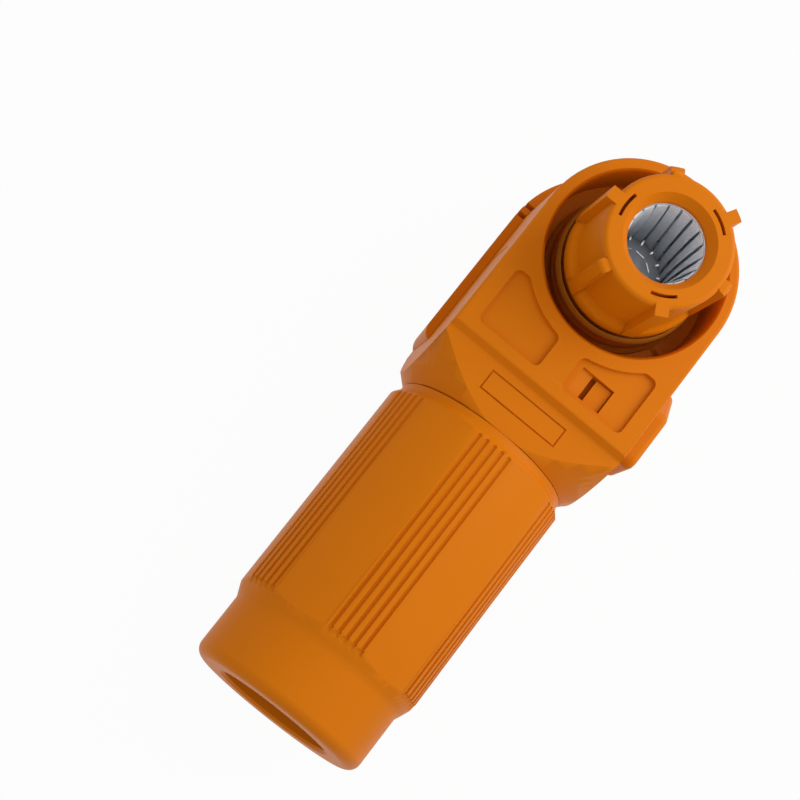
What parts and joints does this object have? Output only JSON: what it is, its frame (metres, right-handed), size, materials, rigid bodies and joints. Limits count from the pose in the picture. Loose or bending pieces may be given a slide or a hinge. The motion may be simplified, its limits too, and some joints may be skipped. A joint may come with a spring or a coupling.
{
  "type": "right-angle high voltage plug",
  "caption": "Right-angle single-pole high-current plug with a ribbed socket crown, a sprung lock slide and a knurled cable clamping nut.",
  "frame": {"origin": "on the mating axis, at the flat rear face of the cover", "axes": "+Z along the mating axis out of the socket, +X along the cable, away from the body, +Y towards the release button"},
  "size_m": [0.1103, 0.0396, 0.052],
  "materials": {
    "orange_plastic": "moulded, fine satin",
    "seal_rubber": "moulded, matt",
    "silver_plate": "silver plated copper alloy, satin",
    "tin_plate": "tin plated copper, matt",
    "steel": "zinc plated",
    "inner_plastic": "moulded, matt"
  },
  "bodies": {
    "body": {"housing": "orange_plastic", "rear_cover": "orange_plastic", "cover_gasket": "seal_rubber", "crown_insulator": "orange_plastic", "interface_seal": "seal_rubber", "socket_contact": "silver_plate", "lamella_cage": "silver_plate", "crimp_terminal": "tin_plate", "terminal_screw": "steel", "spring_washer": "steel", "barrel_sleeve": "inner_plastic", "barrel_bush": "inner_plastic", "cable_seal": "seal_rubber", "seal_washer": "inner_plastic", "neck_o_ring": "seal_rubber", "return_spring_near": "steel", "return_spring_far": "steel"},
    "slide": {"lock_slide": "orange_plastic", "release_button": "orange_plastic"},
    "claw": {"clamp_claw": "inner_plastic"},
    "nut": {"gland_nut": "orange_plastic"}
  },
  "joints": [
    {"name": "release_press", "type": "slide", "parent": "body", "child": "slide", "axis": [0, -1, 0], "range_m": [0, 0.0022], "stiffness_N_per_m": 1500, "springref_m": -0.002, "deforming": ["return_spring_near", "return_spring_far"]},
    {"name": "nut_travel", "type": "slide", "parent": "body", "child": "claw", "axis": [1, 0, 0], "range_m": [0, 0.004]},
    {"name": "nut_turn", "type": "hinge", "parent": "claw", "child": "nut", "pos_m": [0.06, 0, 0.018], "axis": [1, 0, 0], "range_deg": [0, 720]}
  ],
  "couplings": [
    {"joint": "nut_travel", "follows": "nut_turn", "m_per_rad": 0.0003183}
  ]
}
